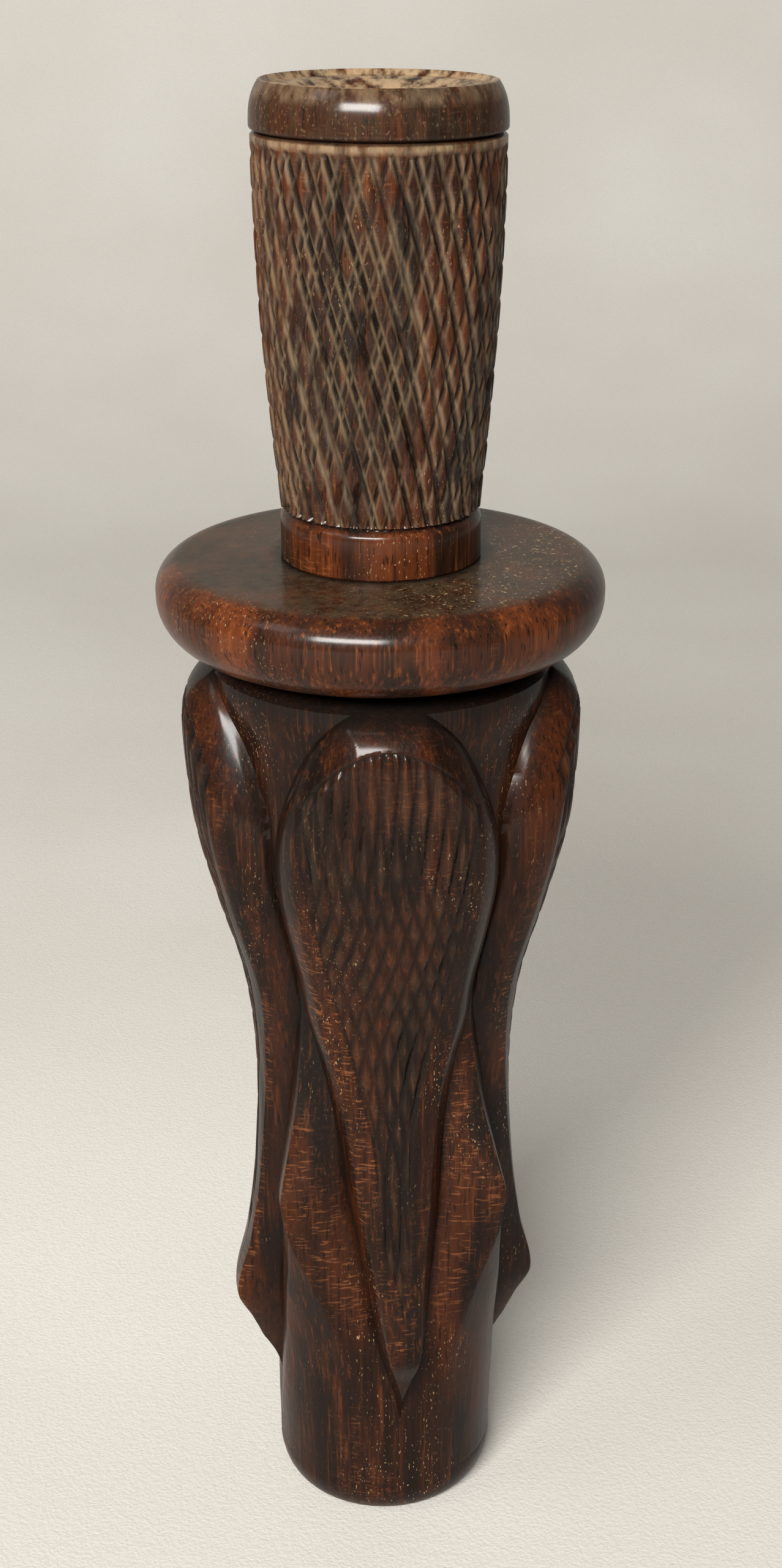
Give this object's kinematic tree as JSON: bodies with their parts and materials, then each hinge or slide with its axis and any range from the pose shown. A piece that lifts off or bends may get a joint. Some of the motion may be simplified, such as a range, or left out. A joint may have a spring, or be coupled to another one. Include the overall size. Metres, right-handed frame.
{
  "type": "wooden game call",
  "caption": "Mouth-blown wooden game call: carved, waisted barrel with a stop disc, and a pull-out checkered insert holding a reed on a tone board.",
  "frame": {"origin": "centre of the barrel's mouth end, the flat ring that the call stands on", "axes": "+Z along the bore from the mouth end up to the open bell; the carving's front panel faces -Y, turned 3.6 degrees towards +X"},
  "size_m": [0.0434, 0.0434, 0.15],
  "materials": {
    "walnut_barrel": "shellac over aged dark walnut, patina in the cuts",
    "walnut_disc": "shellac over aged dark walnut",
    "walnut_insert": "shellac over aged dark walnut, worn grey edges on the checkering",
    "waxed_thread": "beeswaxed linen",
    "black_board": "hard rubber, dull black",
    "reed_brass": "rolled strip, slightly tarnished",
    "cedar_wedge": "bare red cedar"
  },
  "bodies": {
    "barrel": {"barrel": "walnut_barrel", "stop_disc": "walnut_disc"},
    "wrap": {"tenon_wrap": "waxed_thread"},
    "insert": {"insert": "walnut_insert"},
    "tone_board": {"tone_board": "black_board"},
    "reed": {"reed_heel": "reed_brass"},
    "reed_tip": {"reed_tongue": "reed_brass"},
    "wedge": {"wedge_block": "cedar_wedge"}
  },
  "joints": [
    {"name": "insert_pull", "type": "slide", "parent": "barrel", "child": "wrap", "axis": [0, 0, 1], "range_m": [0, 0.068]},
    {"name": "insert_turn", "type": "hinge", "parent": "wrap", "child": "insert", "pos_m": [0, 0, 0.09], "axis": [0, 0, 1], "continuous": true},
    {"name": "tone_board_pull", "type": "slide", "parent": "insert", "child": "tone_board", "axis": [0, 0, -1], "range_m": [0, 0.02]},
    {"name": "reed_tune", "type": "slide", "parent": "tone_board", "child": "reed", "axis": [0, 0, 1], "range_m": [-0.001, 0.001]},
    {"name": "reed_flex", "type": "hinge", "parent": "reed", "child": "reed_tip", "pos_m": [0, 0.00015, 0.08], "axis": [-1, 0, 0], "range_deg": [0, 2.2], "stiffness_Nm_per_rad": 0.05},
    {"name": "wedge_pull", "type": "slide", "parent": "tone_board", "child": "wedge", "axis": [0, 0, -1], "range_m": [0, 0.018]}
  ]
}
